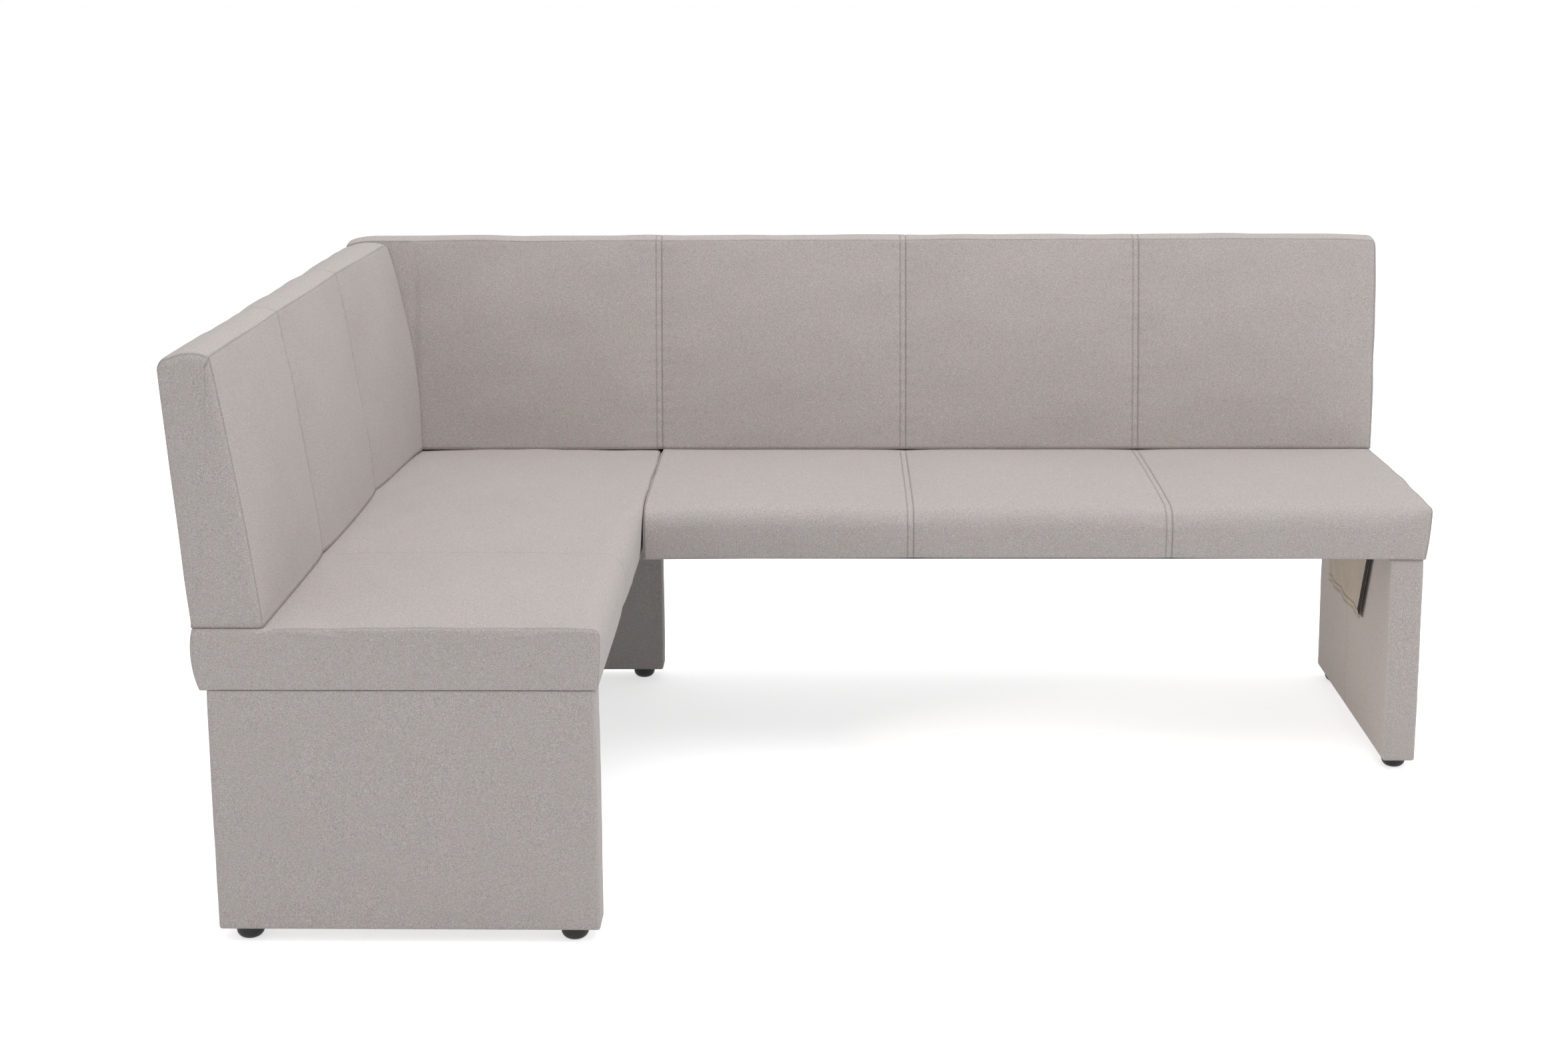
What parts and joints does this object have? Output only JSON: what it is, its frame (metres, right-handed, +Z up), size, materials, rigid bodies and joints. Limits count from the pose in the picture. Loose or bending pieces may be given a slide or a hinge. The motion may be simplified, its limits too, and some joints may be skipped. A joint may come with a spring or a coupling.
{
  "type": "corner bench",
  "caption": "Upholstered L-shaped dining corner bench: padded seats and wedge backrests on padded leg panels with glides, and a cloth flap under the long seat",
  "frame": {"origin": "middle of the bench's footprint box, on the floor", "axes": "+X along the long seat to its free end, +Y to the wall behind the long seat, +Z up"},
  "size_m": [2, 1.348, 0.888],
  "materials": {
    "upholstery": "greige melange plain weave",
    "foam": "open-cell foam",
    "felt": "needled felt",
    "lining": "spun-bonded lining",
    "timber": "planed softwood",
    "board": "hardboard and chipboard",
    "spring_steel": "drawn spring wire",
    "zinc_steel": "zinc plated",
    "glide_plastic": "moulded black plastic",
    "flap_cloth": "plain woven cloth",
    "tape": "black hook and loop tape"
  },
  "bodies": {
    "bench": {"bracket_screws": "zinc_steel", "connector_bolts": "zinc_steel", "connector_nuts": "zinc_steel", "connector_washers": "zinc_steel", "corner_leg_boards": "board", "corner_leg_cover": "upholstery", "corner_leg_glides": "glide_plastic", "corner_leg_rails": "timber", "corner_leg_stiles": "timber", "end_leg_boards": "board", "end_leg_cover": "upholstery", "end_leg_glides": "glide_plastic", "end_leg_rails": "timber", "end_leg_stiles": "timber", "flap_header": "flap_cloth", "flap_loop_tape": "tape", "front_leg_boards": "board", "front_leg_cover": "upholstery", "front_leg_glides": "glide_plastic", "front_leg_rails": "timber", "front_leg_stiles": "timber", "glide_screws": "zinc_steel", "leg_bolts": "zinc_steel", "leg_inserts": "zinc_steel", "leg_washers": "zinc_steel", "long_back_board": "board", "long_back_brackets": "zinc_steel", "long_back_cover": "upholstery", "long_back_foam": "foam", "long_back_posts": "timber", "long_back_rails": "timber", "long_seat_cover": "upholstery", "long_seat_cross_rails": "timber", "long_seat_end_rails": "timber", "long_seat_felt": "felt", "long_seat_foam": "foam", "long_seat_lining": "lining", "long_seat_side_rails": "timber", "long_seat_spring_clips": "zinc_steel", "long_seat_springs": "spring_steel", "short_back_board": "board", "short_back_brackets": "zinc_steel", "short_back_cover": "upholstery", "short_back_foam": "foam", "short_back_posts": "timber", "short_back_rails": "timber", "short_seat_cover": "upholstery", "short_seat_cross_rails": "timber", "short_seat_end_rails": "timber", "short_seat_felt": "felt", "short_seat_foam": "foam", "short_seat_lining": "lining", "short_seat_side_rails": "timber", "short_seat_spring_clips": "zinc_steel", "short_seat_springs": "spring_steel"},
    "flap": {"access_flap": "flap_cloth", "flap_hook_tape": "tape"}
  },
  "joints": [
    {"name": "flap_hinge", "type": "hinge", "parent": "bench", "child": "flap", "pos_m": [0.917, 0.367, 0.3856], "axis": [0, 1, 0], "range_deg": [0, 86]}
  ]
}
